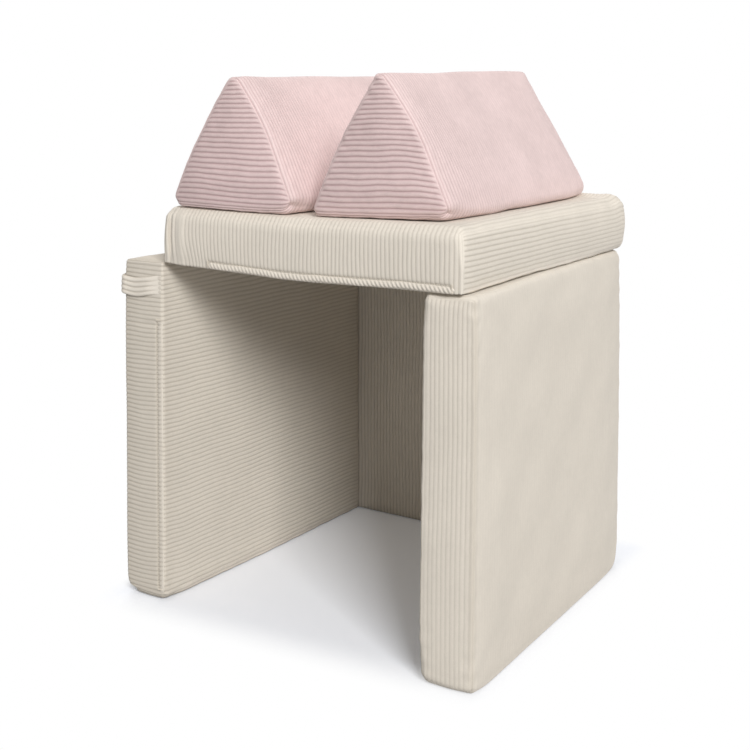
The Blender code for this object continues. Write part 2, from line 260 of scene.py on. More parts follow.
class Sheet:
    """Grids of points, later sewn into one closed mesh.

    Each point has its place, its outward direction, its painted shade (how far it lies in a groove, and
    the painted shade of seams and faces), and its pattern: wales across and metres along.
    """

    def __init__(self):
        self.points = []
        self.outward = []
        self.groove = []
        self.pattern = []
        self.faces = []
        self.count = 0

    def grid(self, points, outward, groove, wale, run, first=None, last=None):
        """Adds a grid, whose faces join neighbours from its first to its last column, and returns its
        points' numbers."""
        rows, columns = points.shape[:2]
        numbers = self.count + np.arange(rows * columns).reshape(rows, columns)
        self.count += rows * columns
        self.points.append(points.reshape(-1, 3))
        self.outward.append(np.broadcast_to(outward, points.shape).reshape(-1, 3))
        self.groove.append(np.broadcast_to(groove, (rows, columns)).ravel())
        pattern = [np.broadcast_to(part, (rows, columns)) for part in (wale, run)]
        self.pattern.append(np.stack(pattern, -1).reshape(-1, 2))
        used = numbers[:, first:last]
        corners = (used[:-1, :-1], used[:-1, 1:], used[1:, 1:], used[1:, :-1])
        self.faces.append(np.stack(corners, -1).reshape(-1, 4))
        return numbers

    def fan(self, coarse, fine, places):
        """Joins a coarse row of points to a fine one, where places are the coarse points' numbers in the
        fine row."""
        steps = np.arange(len(fine) - 1)
        owner = np.abs(places[:, None] - (steps + 0.5)).argmin(0)
        self.faces.append(np.stack([coarse[owner], fine[:-1], fine[1:]], -1))
        turn = np.searchsorted(owner, np.arange(1, len(coarse)))
        self.faces.append(np.stack([coarse[:-1], fine[turn], coarse[1:]], -1))

    def mesh(self, name):
        """One closed mesh: points at the same place are merged, and every face is turned outward."""
        points = np.concatenate(self.points)
        outward = np.concatenate(self.outward)
        pattern = np.concatenate(self.pattern)
        _, keep, merged = np.unique(np.round(points, 7), axis=0, return_index=True, return_inverse=True)
        merged = merged.reshape(-1)
        corners = []
        sizes = []
        for faces in self.faces:
            one = points[faces[:, 2]] - points[faces[:, 0]]
            other = points[faces[:, -1]] - points[faces[:, 1]]
            inward = (np.cross(one, other) * outward[faces].sum(1)).sum(1) < 0
            faces[inward] = faces[inward][:, ::-1]
            # A face whose points merged, as at a tip, keeps only its different corners.
            ids = merged[faces]
            same = (ids == np.roll(ids, -1, 1)).sum(1)
            whole = faces[same == 0]
            corners.append(whole.ravel())
            sizes.append(np.full(len(whole), faces.shape[1]))
            if faces.shape[1] == 4 and (same == 1).any():
                folded = faces[same == 1]
                kept = merged[folded] != np.roll(merged[folded], -1, 1)
                corners.append(folded[kept])
                sizes.append(np.full(len(folded), 3))
        corners = np.concatenate(corners)
        sizes = np.concatenate(sizes)
        mesh = bpy.data.meshes.new(name)
        mesh.vertices.add(len(keep))
        mesh.vertices.foreach_set("co", points[keep].astype(np.float32).ravel())
        mesh.loops.add(len(corners))
        mesh.loops.foreach_set("vertex_index", merged[corners].astype(np.int32))
        mesh.polygons.add(len(sizes))
        mesh.polygons.foreach_set("loop_start", (np.cumsum(sizes) - sizes).astype(np.int32))
        groove = np.concatenate(self.groove)[keep].astype(np.float32)
        # The painted shade, read by the corduroy material.
        mesh.attributes.new("groove", "FLOAT", "POINT").data.foreach_set("value", groove)
        layer = mesh.uv_layers.new(name="wales")
        layer.uv.foreach_set("vector", pattern[corners].astype(np.float32).ravel())
        mesh.update(calc_edges=True)
        mesh.validate()
        mesh.shade_smooth()
        made = bpy.data.objects.new(name, mesh)
        bpy.context.scene.collection.objects.link(made)
        return made


def finish_piece(piece, body, look, nodes):
    """Gives a piece its material and tells the frame what it rides on and stands for."""
    piece.data.materials.append(look)
    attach(piece, body)
    if nodes:
        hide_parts(*nodes)


def rounded_box(points, size, radii):
    """Rounds a box with its own radius along each axis: q is the point held at least the radii inside every
    side, n runs from q to the point in units of the radii, and the rounded place is q + radii n."""
    inner = np.clip(points, radii, size - radii)
    ray = (points - inner) / radii
    ray /= np.linalg.norm(ray, axis=-1, keepdims=True)
    outward = ray / radii
    outward /= np.linalg.norm(outward, axis=-1, keepdims=True)
    return inner + radii * ray, outward


class Section:
    """One section: its place, and its own edges, corners, swellings, wandering wales, painted shade and zip
    flap.

    edges are the radii on the fold's side and outside, to which corners add. swells move the surface, and
    bends shift the wales across their run. relief is how strongly the wales show on the fold's side,
    outside and at the ends, in their depth and their painted groove shade, and tone is the painted shade
    added over each of these faces. The wales fade at the brushed spots, and painted shade darkens the darker
    ones. seam is the depth of the seams and of the painted shade along them. rests are the sides, by axis
    and end, that lie flat on something and don't swell. flap is the zip flap's middle, how deep its foot and
    its top lie under the plain side, how strong its ribs are, and how deep its line of stitches lies.
    """

    def __init__(
        self,
        name,
        place,
        seed,
        edges,
        relief,
        face_shade=(0, 0, 0),
        seam=1,
        run=crown_run,
        corners=(),
        swells=(),
        bends=(),
        brushed=(),
        darker=(),
        rests=(),
        flap=(0.0072, 0.0012, 0, 0.3, 0.0016),
    ):
        self.name = name
        self.place = place
        self.seed = seed
        self.edges = edges
        self.relief = relief
        self.face_shade = face_shade
        self.run = run
        self.corners = corners
        self.swells = swells
        self.bends = bends
        self.brushed = brushed
        self.darker = darker
        self.rests = rests
        self.seam = seam
        self.flap_middle, self.flap_foot, self.flap_top, self.flap_ribs, self.stitch_line = flap
        self.swelling = swollen((51, 51, 9), lambda shares: shares * section_size, seed)

    def world(self, points):
        return self.place.points(points + np.array([fold_gap, 0, 0]))

    def radii(self, points):
        """Edge radii: tight on the fold's side, softer outside, and more at the worn corners."""
        inner, outer = self.edges
        radius = inner + (outer - inner) * ease(points[..., 2] / section_thickness)
        radius += 0.0012 * uneven(points, 0.16, self.seed + 5)
        radii = radius[..., None] * np.ones(3) + bumps(points, self.corners)
        return np.clip(radii, 0.003, 0.045)

    def bent(self, points, axis):
        """Lets the wales wander across their run, but not at the seams."""
        moved = points.copy()
        room = np.minimum(points[..., axis], section_size[axis] - points[..., axis])
        wander = 0.0020 * uneven(points, 0.22, self.seed + 1) + 0.0005 * uneven(points, 0.05, self.seed + 2)
        if axis == 2:
            wander *= 0.4
        elif self.bends:
            wander = wander + bumps(points, self.bends)[..., 0]
        moved[..., axis] += wander * ease(room / (0.02 if axis == 2 else 0.05))
        return moved

    def surface(self, points, wale, axis):
        """The cover over points of the plain box: rounded, crowned and swollen, and dented inward by its
        wales, seams, topstitching, gathers and soft foam. Returns places, outward directions and how much
        painted shade each gets: in its groove, along seams and the stitch line, and over darkened faces."""
        points = self.bent(points, axis)
        placed, outward = rounded_box(points, section_size, self.radii(points))
        room = np.minimum(points, section_size - points)
        from_x, from_y, from_z = np.moveaxis(room, -1, 0)
        x, y, z = np.moveaxis(points, -1, 0)
        crown = section_crown * ease(from_x / self.run) * ease(from_y / self.run)
        placed[..., 2] += crown * ease(z / section_thickness)
        if self.swells:
            placed = placed + bumps(points, self.swells)
        swelling = between(self.swelling, points / section_size)
        for side, end in self.rests:
            swelling *= ease(np.abs(points[..., side] - end * section_size[side]) / 0.02)[..., None]
        placed = placed + swelling

        # The grooves show less on the outer face than on the fold's side: relief makes them shallower there,
        # and their painted shade lighter, as on faces that meet the light head-on.
        to_seam = from_x if axis == 0 else np.minimum(from_y, from_z)
        inner_relief, outer_relief, end_relief = self.relief
        inner_shade, outer_shade, end_shade = self.face_shade
        outside = ease((z - 0.04) / 0.052)
        relief = inner_relief + (outer_relief - inner_relief) * outside
        face_shade = inner_shade + (outer_shade - inner_shade) * outside
        if axis == 2:
            relief = end_relief * (1 - 0.4 * ease(y / section_width))
            face_shade = end_shade
        # The darker spots add painted shade.
        if self.darker:
            face_shade = face_shade + bumps(points, self.darker)[..., 0]
        if self.brushed:
            relief = relief * (1 - np.clip(bumps(points, self.brushed)[..., 0], 0, 1))
        fade = ease((to_seam - 0.002) / (0.004 if axis == 0 else 0.008))
        # A groove's share sets both its depth and its painted shade.
        groove = (1 - wale_top(wale)) * relief * fade
        depth = wale_depth * groove
        depth += self.seam * (0.0014 * bell(to_seam, 0.0024) + 0.0005 * bell(to_seam - 0.0055, 0.0012))
        depth += 0.0009 * (1 + uneven(points, 0.13, self.seed + 3)) * ease(np.minimum(from_x, from_y) / 0.06)
        gathers = 1 + uneven(points * np.array([1, 1, 0.2]), 0.028, self.seed + 4)
        depth += 0.0007 * gathers * bell(to_seam - 0.009, 0.012)
        if axis == 0:
            in_slot = ease((x - slot_start) / 0.006) * ease((slot_start + slot_length - x) / 0.006)
            line = in_slot * bell(y, 0.004) * bell(z - self.flap_middle - stitch_row, 0.0018)
            depth += self.stitch_line * line
            # Painted shade along the line of stitches, besides its dent.
            groove = np.maximum(groove, 0.9 * line)
        # Painted shade along the seams, and the painted shade of the face and its darker spots.
        groove = np.maximum(groove, 0.4 * self.seam * bell(to_seam, 0.0016)) + face_shade
        return placed - depth[..., None] * outward, outward, groove


def section_cover(section):
    """A cover: a sheet of wales wrapped round the section, and a panel of wales sewn in at each end."""
    across = crowded(section_width, 72)[:, None]
    x = wale_places(side_wales) * section_length / side_wales
    thick = wale_places(cap_wales) * section_thickness / cap_wales
    far_high, near_high = (thick[rows][:, None] for rows in (far_rows, near_rows))
    round_wales = wale_places(side_wales)
    round_length = 2 * (section_width + section_thickness)
    sheet = Sheet()

    def add(x, y, z, wale, run, axis, first=None, last=None):
        points = np.stack(np.broadcast_arrays(x, y, z), -1).astype(float)
        placed, outward, groove = section.surface(points, wale, axis)
        outward = section.place.directions(outward)
        return sheet.grid(section.world(placed), outward, groove, wale, run, first, last)

    add(x, across, 0, round_wales, across, 0)
    far = add(x, section_width, far_high, round_wales, section_width + far_high, 0, 1, -1)
    add(x, across, section_thickness, round_wales, section_width + section_thickness + across[::-1], 0)
    near = add(x, 0, near_high, round_wales, round_length - near_high, 0, 1, -1)
    for end, column in ((0, 1), (section_length, -2)):
        cap = add(end, across, thick, wale_places(cap_wales), across, 2)
        sheet.fan(far[:, column], cap[-1], far_rows)
        sheet.fan(near[:, column], cap[0], near_rows)
    return sheet.mesh(section.name + "_corduroy")


def rounded_prism(points, corners, length, radius, end_radius):
    """Rounds a three-sided prism that lies along y, with one radius round its three corners and another at
    its ends: q is the nearest place at least the radii inside it, n runs from q to the point in units of
    the radii, and the rounded place is q + radii n."""
    sides = np.roll(corners, -1, 0) - corners
    lengths = np.linalg.norm(sides, axis=1)
    centre = (np.roll(lengths, -1)[:, None] * corners).sum(0) / lengths.sum()
    area = abs(np.cross(sides[0], sides[1])) / 2
    inradius = 2 * area / lengths.sum()
    plan = points[..., [0, 2]]
    shrink = (1 - radius / inradius)[..., None]
    inner = np.empty_like(plan)
    best = np.full(plan.shape[:-1], np.inf)
    inside = np.ones(plan.shape[:-1], bool)
    for corner, side in zip(corners, sides):
        start = centre + (corner - centre) * shrink
        run = side * shrink
        along = ((plan - start) * run).sum(-1) / (run**2).sum(-1)
        near = start + np.clip(along, 0, 1)[..., None] * run
        distance = np.linalg.norm(plan - near, axis=-1)
        offset = run[..., 0] * (plan - start)[..., 1] - run[..., 1] * (plan - start)[..., 0]
        inside &= offset >= 0
        closer = distance < best
        inner[closer] = near[closer]
        best = np.where(closer, distance, best)
    inner = np.where(inside[..., None], plan, inner)
    y = np.clip(points[..., 1], end_radius, length - end_radius)
    held = np.stack([inner[..., 0], y, inner[..., 1]], -1)
    radii = np.stack([radius, end_radius, radius], -1)
    ray = (points - held) / radii
    ray /= np.linalg.norm(ray, axis=-1, keepdims=True)
    outward = ray / radii
    outward /= np.linalg.norm(outward, axis=-1, keepdims=True)
    return held + radii * ray, outward


wedge_corners = np.array([[0, 0], [wedge_base, 0], [wedge_base / 2, wedge_height]])


def wedge_places(shares):
    """A wedge's plain prism from shares: across it between its slopes, along it and up."""
    across, along, up = np.moveaxis(shares, -1, 0)
    x = wedge_base * (up / 2 + across * (1 - up))
    return np.stack([x, along * wedge_length, up * wedge_height], -1)


def wedge_shares(points):
    """The shares that give these places of a wedge's plain prism."""
    x, y, z = np.moveaxis(points, -1, 0)
    up = z / wedge_height
    across = (x / wedge_base - up / 2) / np.maximum(1 - up, 1e-6)
    return np.stack([across, y / wedge_length, up], -1)


def wedge_surface(
    points, wale, to_end, to_edge, on_front, seed, edge_radius, corners, swells, lean, swelling
):
    """The wedge's cover over points of the plain prism: rounded, swollen between its seams except on its
    base, leaning to one side, and dented inward by wales, seams and gathers, with painted shade in its
    grooves, along its seams and over its front ends."""
    worn = bumps(points, corners)[..., 0]
    radius = edge_radius + 0.0008 * uneven(points, 0.12, seed + 5) + worn
    placed, outward = rounded_prism(points, wedge_corners, wedge_length, radius, wedge_end_radius + worn)
    placed[..., 0] += lean * points[..., 2] / wedge_height
    off_base = ease(points[..., 2] / 0.05)
    room = to_edge if on_front else np.minimum(to_end, to_edge)
    swell = wedge_swell * ease(room / 0.06) * off_base
    placed = placed + bumps(points, swells)
    placed = placed + between(swelling, wedge_shares(points)) * off_base[..., None]
    to_seam = to_edge if on_front else to_end
    fade = ease((to_seam - 0.002) / (0.009 if on_front else 0.005))
    # nap: on the slopes the grooves are shallower and their painted shade lighter, from 0.6 near the front
    # to 0.18 further back, as on faces that meet the light head-on.
    nap = 1 if on_front else 0.18 + 0.42 * bell(points[..., 1], 0.16)
    groove = (1 - wale_top(wale)) * fade * nap
    depth = wale_depth * groove
    depth += 0.0016 * bell(to_seam, 0.0026) + 0.0006 * bell(to_seam - 0.0062, 0.0013)
    below_ridge = ease((wedge_height - points[..., 2]) / 0.05)
    depth += 0.0009 * (1 + uneven(points, 0.11, seed + 3)) * ease(to_seam / 0.03) * below_ridge
    gathers = 1 + uneven(points * np.array([1, 0.3, 1]), 0.024, seed + 4)
    depth += 0.0007 * gathers * bell(to_seam - 0.009, 0.012)
    # Painted shade along the seams, and a little over the whole of each front end.
    groove = np.maximum(groove, 0.5 * bell(to_seam, 0.0018)) + (0.12 if on_front else 0)
    return placed + (swell - depth)[..., None] * outward, outward, groove


def settled(points):
    """Lets a wedge's lower part follow the roof's top, by (0.4 of the crown missing below it + sag) times
    1 - ease(height above the roof / 0.12)."""
    over = points - np.array(fold_a) - np.array([fold_gap, 0, 0])
    room = np.minimum(over, section_size - over)
    crown = ease(room[..., 0] / roof_crown_run) * ease(room[..., 1] / roof_crown_run)
    sink = 0.4 * section_crown * (1 - crown) - bumps(over * np.array([1, 1, 0]), [roof_sag])[..., 2]
    moved = points.copy()
    moved[..., 2] -= sink * (1 - ease((points[..., 2] - wedge_level) / 0.12))
    return moved


def wedge_cover(name, place, seed, radius, corners, swells, lean):
    """A wedge's cover: a sheet of wales wrapped round its three sides, and a panel sewn in at each end."""
    sheet = Sheet()
    heights = wale_places(front_wales) / front_wales
    rows = np.unique(np.round(crowded(len(heights) - 1, 44, 0.8)).astype(int))
    base_steps = crowded(1, 26, 0.8)
    y = wale_places(wedge_wales) * wedge_length / wedge_wales
    to_end = np.minimum(y, wedge_length - y)
    slant = math.hypot(wedge_base / 2, wedge_height)
    wales = wale_places(wedge_wales)
    swelling = swollen((23, 45, 21), wedge_places, seed)

    def bend(points, axis, room, amount):
        wander = amount * uneven(points, 0.2, seed + 1) + 0.3 * amount * uneven(points, 0.045, seed + 2)
        moved = points.copy()
        moved[..., axis] += wander * ease(room / 0.045)
        return moved

    def add(x, y, z, wale, run, ends, edges, on_front, first=None, last=None):
        points = np.stack(np.broadcast_arrays(x, y, z), -1).astype(float)
        ends, edges = (np.broadcast_to(room, points.shape[:-1]) for room in (ends, edges))
        if on_front:
            points = bend(points, 2, np.minimum(edges, wedge_height - points[..., 2]), 0.0022)
        else:
            points = bend(points, 1, ends, 0.0016)
        placed, outward, groove = wedge_surface(
            points, wale, ends, edges, on_front, seed, radius, corners, swells, lean, swelling
        )
        settled_places = settled(place.points(placed))
        return sheet.grid(settled_places, place.directions(outward), groove, wale, run, first, last)

    up = heights[rows][:, None]
    side_room = np.minimum(up, 1 - up) * slant
    left = add(up * wedge_base / 2, y, up * wedge_height, wales, up * slant, to_end, side_room, False, 1, -1)
    right_x = wedge_base - up * wedge_base / 2
    right_run = 2 * slant - up * slant
    right = add(right_x, y, up * wedge_height, wales, right_run, to_end, side_room, False, 1, -1)
    base_x = (base_steps * wedge_base)[:, None]
    base_room = np.minimum(base_x, wedge_base - base_x)
    base = add(base_x, y, 0, wales, 2 * slant + base_x, to_end, base_room, False, 1, -1)
    level = heights[:, None]
    half_width = (1 - level) * wedge_base / 2
    front_x = wedge_base / 2 + (2 * base_steps - 1) * half_width
    from_slope = (half_width - np.abs(front_x - wedge_base / 2)) * wedge_height / slant
    front_room = np.minimum(from_slope, level * wedge_height)
    front_wale = np.repeat(wale_places(front_wales)[:, None], len(base_steps), 1)
    for end, column in ((0, 1), (wedge_length, -2)):
        cap = add(front_x, end, level * wedge_height, front_wale, front_x, 0, front_room, True)
        sheet.fan(left[:, column], cap[:, 0], rows)
        sheet.fan(right[:, column], cap[:, -1], rows)
        sheet.fan(base[:, column], cap[0], np.arange(len(base_steps)))
    return sheet.mesh(name + "_corduroy")


def loop_grid(centre, side, up, half_width, height):
    """A closed strip along a path: at each station, centre + half_width cos(t) side + height sin(t) up, with
    a quarter of the height where sin(t) is below 0."""
    t = np.linspace(0, 2 * math.pi, height.shape[1])
    t[-1] = 0
    across = half_width[:, None] * np.cos(t)
    rise = height * np.sin(t)
    rise = np.where(np.sin(t) < 0, 0.25 * rise, rise)
    outward = np.cos(t)[None, :, None] * side[:, None] + np.sin(t)[None, :, None] * up[:, None]
    points = centre[:, None] + across[..., None] * side[:, None] + rise[..., None] * up[:, None]
    return points, outward, across


def ribbed_strip(name, place, start, frame_axes, length, height, strength, seed, finish):
    """A half-round strip with slanting ribs, tapered to nothing at its ends. It runs along the first of its
    axes from its start, across the second, and its height along the third is (1 - 0.42 strength rib) of the
    full height, with a rib ((1 + cos(2 pi (run / 7.6 mm + 0.42 cos t))) / 2)^1.6 at the angle t round it."""
    stations = np.linspace(0, length, 440)
    ends = np.minimum(stations, length - stations)
    taper = np.sqrt(ease(ends / 0.008))
    sway = 0.0006 * np.sin(stations * 41 + seed) + 0.0003 * np.sin(stations * 117)
    ahead, side, up = (np.broadcast_to(np.array(axis, float), (len(stations), 3)) for axis in frame_axes)
    centre = np.array(start) + stations[:, None] * ahead + sway[:, None] * side
    t = np.linspace(0, 2 * math.pi, 19)
    t[-1] = 0
    ribs = (0.5 + 0.5 * np.cos(2 * math.pi * (stations[:, None] / 0.0076 + 0.42 * np.cos(t)))) ** 1.6
    full = height * taper[:, None] * (1 - 0.42 * strength * ribs)
    points, outward, across = loop_grid(centre, side, up, 0.0052 * taper, full)
    sheet = Sheet()
    # Painted shade: a little over the whole strip, and more between its ribs.
    groove = 0.20 + 0.5 * strength * ribs
    sheet.grid(finish(points), place.directions(outward), groove, across / 0.008, stations[:, None])
    return sheet.mesh(name)


def zip_flap(section):
    """The flap over a section's zip, which moves with the section's swellings."""

    def finish(points):
        if section.swells:
            points = points + bumps(points, section.swells)
        return section.world(points)

    return ribbed_strip(
        section.name + "_flap",
        section.place,
        (slot_start, section.flap_foot, section.flap_middle),
        ((1, 0, 0), (0, 0, 1), (0, -1, 0)),
        slot_length + 0.006,
        section.flap_foot - section.flap_top,
        section.flap_ribs,
        section.seed,
        finish,
    )


def wedge_flap(name, place, seed):
    """The flap over a wedge's zip. It lies along the base, beside the right edge and flush with it."""
    surface = 0.0026
    return ribbed_strip(
        name + "_flap",
        place,
        (wedge_base - wedge_flap_inset, wedge_slot_margin, surface),
        ((0, 1, 0), (1, 0, 0), (0, 0, -1)),
        wedge_length - 2 * wedge_slot_margin,
        surface,
        0.6,
        seed,
        lambda points: settled(place.points(points)),
    )


def wedge_stitches(name, place):
    """A row of stitches on each side of a wedge's zip flap, as one piece."""
    y = np.arange(wedge_slot_margin, wedge_length - wedge_slot_margin, stitch_pitch)
    rows = [wedge_base - wedge_flap_inset + step for step in (-wedge_stitch_row, wedge_stitch_row)]
    points = np.concatenate([np.stack([0 * y + row, y, 0 * y + 0.0009], -1) for row in rows])
    centres = settled(place.points(points))
    along = np.broadcast_to(place.directions(np.array([0, 1.0, 0])), centres.shape)
    up = np.broadcast_to(np.array([0, 0, -1.0]), centres.shape)
    return stitches(name + "_stitches", centres, along, up)


def stitches(name, centres, along, up):
    """Small rounded stitches: an ellipsoid of seven rings and eight sides at each centre."""
    rings = np.linspace(0, math.pi, 7)
    turn = np.linspace(0, 2 * math.pi, 9)
    turn[-1] = 0
    rings[-1] = math.pi
    ahead = -np.cos(rings)[:, None] * np.ones(9)
    around = np.sin(rings)
    around[[0, -1]] = 0
    sideways = around[:, None] * np.cos(turn)
    rise = around[:, None] * np.sin(turn)
    across = np.cross(up, along)
    sheet = Sheet()
    long, wide, high = stitch_size
    unit = (
        ahead[None, ..., None] * along[:, None, None],
        sideways[None, ..., None] * across[:, None, None],
        rise[None, ..., None] * up[:, None, None],
    )
    points = centres[:, None, None] + long * unit[0] + wide * unit[1] + high * unit[2]
    outward = unit[0] + unit[1] + unit[2]
    for one, away in zip(points, outward):
        sheet.grid(one, away, 0, 0, 0)
    return sheet.mesh(name)


def flap_stitches(section):
    """The row of stitches above a zip flap, and a bar tack across each of its ends, as one piece."""
    x = np.arange(slot_start + 0.003, slot_start + slot_length, stitch_pitch)
    points = np.stack([x, 0 * x, np.full_like(x, section.flap_middle + stitch_row)], -1)[None]
    placed, outward, _ = section.surface(points, 0.5, 0)
    tack = section.flap_middle + np.linspace(-0.004, 0.0075, 12)
    slot_ends = (slot_start, slot_start + slot_length)
    ends = [np.stack([0 * tack + place, 0 * tack, tack], -1) for place in slot_ends]
    tacks, tack_outward, _ = section.surface(np.concatenate(ends)[None], 0.5, 0)
    centres = section.world(np.concatenate([placed[0], tacks[0] + 0.0009 * tack_outward[0]]))
    run = section.place.directions(np.array([1.0, 0, 0]))
    along = np.broadcast_to(run, centres.shape)
    up = section.place.directions(np.concatenate([outward[0], tack_outward[0]]))
    return stitches(section.name + "_stitches", centres, along, up)


def strap_band(section):
    """The carry strap: a band of four flat wales that follows the left wall's front and outer face, stands
    off at the corner and fades into the inner seam. Its loop is flat below and has its wales on top."""
    width = 0.034
    front = np.linspace(0.004, section_thickness, 48)
    outer = crowded(0.588, 70, 0.8)[1:]
    y = np.concatenate([0 * front, outer])
    z = np.concatenate([front, np.full_like(outer, section_thickness)])
    run = np.concatenate([front, section_thickness + outer])
    wales = np.concatenate([wale_places(4), [4, 3, 2, 1, 0, 0]])
    across = np.concatenate([wale_places(4) / 4, [1, 0.75, 0.5, 0.25, 0, 0]])
    under = np.repeat([False, True, False], [25, 5, 1])
    # Seen from the front the band dips a little in the middle and rises to the inner seam.
    from_fold = 0.0285 - 0.006 * ease(1 - run / 0.05) + 0.003 * bell(run - 0.066, 0.02)
    x = from_fold[:, None] + width * across
    points = np.stack(np.broadcast_arrays(x, y[:, None], z[:, None]), -1)
    placed, outward, _ = section.surface(points, 0.5, 0)
    corner = np.abs(run - section_thickness)
    stand_off = 0.0034 * bell(corner, 0.016) + 0.0003
    fade = 0.1 + 0.9 * ease((run - run[0]) / 0.035) * ease((run[-1] - run) / 0.006)
    edge = np.sqrt(np.clip(1 - (2 * across - 1) ** 8, 0, 1))
    groove = np.where(under, 0, 1 - wale_top(wales))
    thick = np.where(under, 0, 0.0008 + (0.0026 + 0.0012 * across) * edge - 0.0013 * groove)
    rise = stand_off[:, None] + (thick * fade[:, None]) - 0.0012 * (1 - fade[:, None])
    sheet = Sheet()
    points = section.world(placed + rise[..., None] * outward)
    middle = points[:, :25].mean(1, keepdims=True)
    away = section.place.directions(outward) * np.where(under, -1, 1)[None, :, None]
    away = away + 0.6 * (points - middle) / width
    # Painted shade in the strap's grooves.
    sheet.grid(points, away, 0.9 * groove * fade[:, None], wales, run[:, None])
    for station, facing in ((0, (0.0, 0, -1)), (-1, (0.0, 1, 0))):
        end = np.stack([points[station, :25], np.repeat(points[station, 29:24:-1], 5, 0)])
        sheet.grid(end, section.place.directions(np.array(facing)), 0, 0, 0)
    return sheet.mesh("carry_strap_band")


def fold_welt(section, name, full_radius):
    """The sewn welt on a fold: a round cord on the fold's axis, with slanting ribs and closed ends. It keeps
    its distance from both covers at every angle of the fold, and closes most of the gap between them."""
    stations = np.linspace(welt_margin, section_width - welt_margin, 330)
    ends = np.minimum(stations - welt_margin, section_width - welt_margin - stations)
    radius = full_radius * np.sqrt(ease(ends / 0.003))
    t = np.linspace(0, 2 * math.pi, 15)
    t[-1] = 0
    ribs = 0.5 + 0.5 * np.cos(2 * math.pi * stations[:, None] / 0.0075 + t)
    around = np.stack([np.cos(t), 0 * t, np.sin(t)], -1)
    centre = np.stack([0 * stations - fold_gap, stations, 0 * stations], -1)
    points = centre[:, None] + (radius[:, None] * (1 - 0.12 * ribs))[..., None] * around
    sheet = Sheet()
    outward = section.place.directions(np.broadcast_to(around, points.shape))
    # Painted shade between its ribs.
    sheet.grid(section.world(points), outward, 0.6 * ribs, t / 6, stations[:, None])
    return sheet.mesh(name)


class Tree:
    """The node tree of a material or world, with short ways to add nodes and join them."""

    def __init__(self, owner):
        owner.use_nodes = True
        self.nodes = owner.node_tree.nodes
        self.links = owner.node_tree.links

    def feed(self, node, inputs):
        """Fills a node's inputs: an output of another node is joined, and anything else is a value."""
        for name, given in inputs.items():
            if isinstance(given, bpy.types.NodeSocket):
                self.links.new(given, node.inputs[name])
            else:
                node.inputs[name].default_value = given

    def add(self, kind, inputs, output=0, **settings):
        """Adds a node and returns one of its outputs."""
        node = self.nodes.new("ShaderNode" + kind)
        for name, setting in settings.items():
            setattr(node, name, setting)
        self.feed(node, inputs)
        return node.outputs[output]

    def maths(self, operation, one, other):
        return self.add("Math", {0: one, 1: other}, operation=operation)

    def vectors(self, operation, *inputs):
        return self.add("VectorMath", dict(enumerate(inputs)), operation=operation)

    def noise(self, place, scale, detail, **inputs):
        return self.add("TexNoise", {"Vector": place, "Scale": scale, "Detail": detail, **inputs}, "Fac")

    def spread(self, given, span, to_span, **settings):
        """Carries a value from one span to another."""
        ends = {"From Min": span[0], "From Max": span[1], "To Min": to_span[0], "To Max": to_span[1]}
        return self.add("MapRange", {"Value": given, **ends}, "Result", **settings)

    def mix(self, share, colour, other):
        colours = {"A": (*colour, 1), "B": (*other, 1), "Factor": share}
        return self.add("Mix", colours, "Result", data_type="RGBA")

    def bump(self, height, strength, distance):
        return self.add("Bump", {"Strength": strength, "Distance": distance, "Height": height}, "Normal")

    def object_place(self):
        return self.add("TexCoord", {}, "Object")

    def seen_directly(self):
        """1 where the camera sees it, also in a glossy or through a clear surface."""
        rays = self.nodes.new("ShaderNodeLightPath").outputs
        seen = self.maths("MAXIMUM", rays["Is Camera Ray"], rays["Is Glossy Ray"])
        return self.maths("MAXIMUM", seen, rays["Is Transmission Ray"])


def new_finish(name):
    """A new material, its tree and its shader."""
    made = bpy.data.materials.new(name)
    tree = Tree(made)
    return made, tree, tree.nodes["Principled BSDF"]


def corduroy(name, colour, groove_shade_colour, nap):
    """Corduroy with painted shade in its grooves, along its seams and over darkened faces, a fine pile, soft
    blotches of brushed nap and a sheen.
    """
    made, tree, shader = new_finish(name)
    place = tree.object_place()
    blotch = tree.noise(place, 9, 4, Roughness=0.6)
    # The nap lies in streaks along the wales: the pattern's u counts wales and its v is in metres.
    pattern = tree.add("UVMap", {}, "UV", uv_map="wales")
    stretched = tree.vectors("MULTIPLY", pattern, (0.9, 55, 1))
    streaks = tree.noise(stretched, 1, 5, Roughness=0.7)
    pile = tree.noise(place, 950, 3)
    nap_span = (1 - nap, 1 + nap)
    naps = tree.maths(
        "MULTIPLY", tree.spread(blotch, (0.3, 0.7), nap_span), tree.spread(streaks, (0.3, 0.7), nap_span)
    )
    shade = tree.maths("MULTIPLY", naps, tree.spread(pile, (0.25, 0.75), (0.95, 1.05)))
    # The groove attribute is painted shade: it mixes in the darker groove colour.
    groove = tree.add("Attribute", {}, "Fac", attribute_name="groove")
    colours = tree.mix(groove, colour, groove_shade_colour)
    look = {
        "Roughness": 0.93,
        "Sheen Weight": 0.22,
        "Sheen Roughness": 0.45,
        "Sheen Tint": (1.0, 0.97, 0.93, 1),
        "Specular IOR Level": 0.15,
        "Base Color": tree.add("VectorMath", {0: colours, "Scale": shade}, operation="SCALE"),
        "Normal": tree.bump(pile, 0.35, 0.0004),
    }
    tree.feed(shader, look)
    return made


def tape_weave(name, colour):
    """Zip tape: a fine weave of two crossing sets of threads, 1.1 mm apart, darker between them."""
    made, tree, shader = new_finish(name)
    waves = {"Vector": tree.object_place(), "Scale": 290, "Distortion": 1.5}
    threads = [tree.add("TexWave", waves, "Fac", bands_direction=direction) for direction in "XZ"]
    crossing = tree.maths("MULTIPLY", *threads)
    look = {
        "Roughness": 0.75,
        "Sheen Weight": 0.15,
        "Base Color": tree.mix(crossing, [0.72 * part for part in colour], colour),
        "Normal": tree.bump(crossing, 0.5, 0.0003),
    }
    tree.feed(shader, look)
    return made


